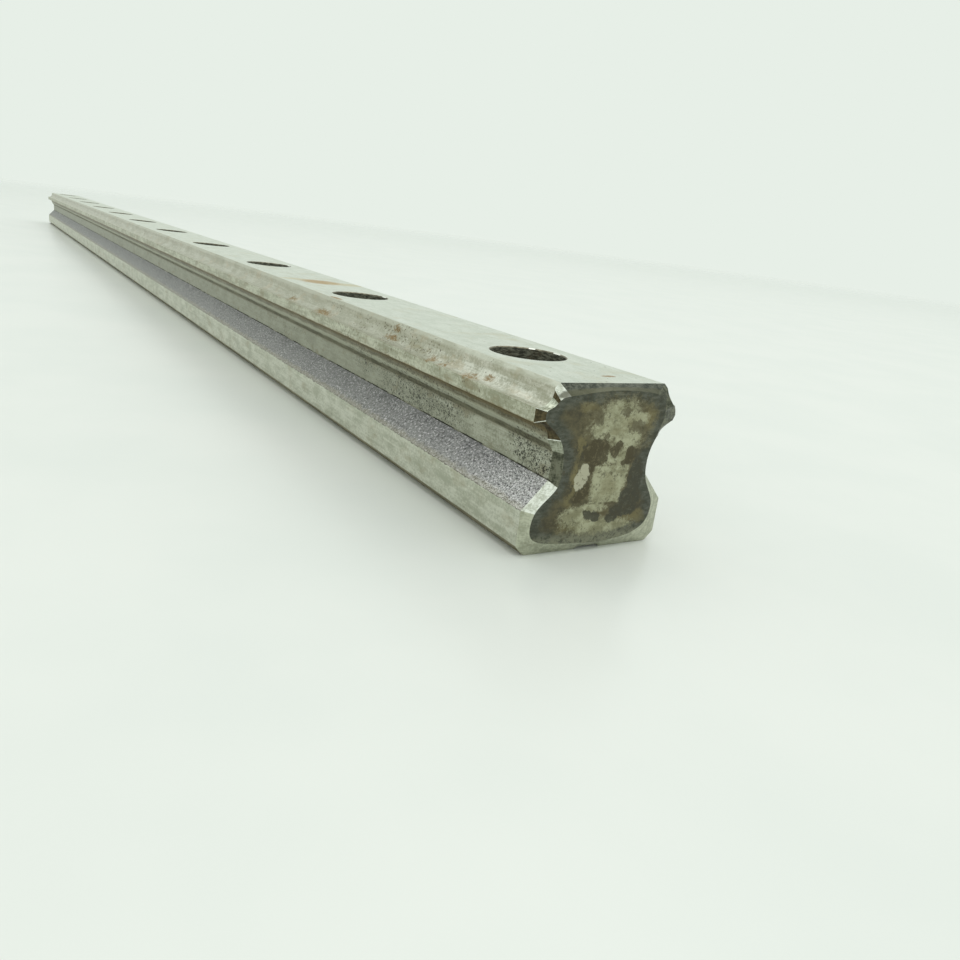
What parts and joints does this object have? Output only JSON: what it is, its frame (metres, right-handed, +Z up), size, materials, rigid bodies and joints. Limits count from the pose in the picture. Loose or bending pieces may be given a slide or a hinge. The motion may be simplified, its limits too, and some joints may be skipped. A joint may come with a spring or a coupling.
{
  "type": "linear guide rail",
  "caption": "Straight steel profile rail for a linear ball guide, with two ground raceways on each side, a waisted section and a row of counterbored bolt holes along the top.",
  "frame": {"origin": "middle of the rail's underside, halfway along its length", "axes": "+X along the rail towards the ground, heat-tinted end nearest the camera; +Y across it, away from the long side seen in the picture; +Z up, out of the counterbores"},
  "size_m": [0.64, 0.023, 0.022],
  "materials": {
    "ground_steel": "ground and worn: bright grey-green top and foot sides, rough dark flanks, rust specks, one hand-ground heat-tinted end"
  },
  "bodies": {
    "root": {"rail": "ground_steel"}
  },
  "joints": []
}
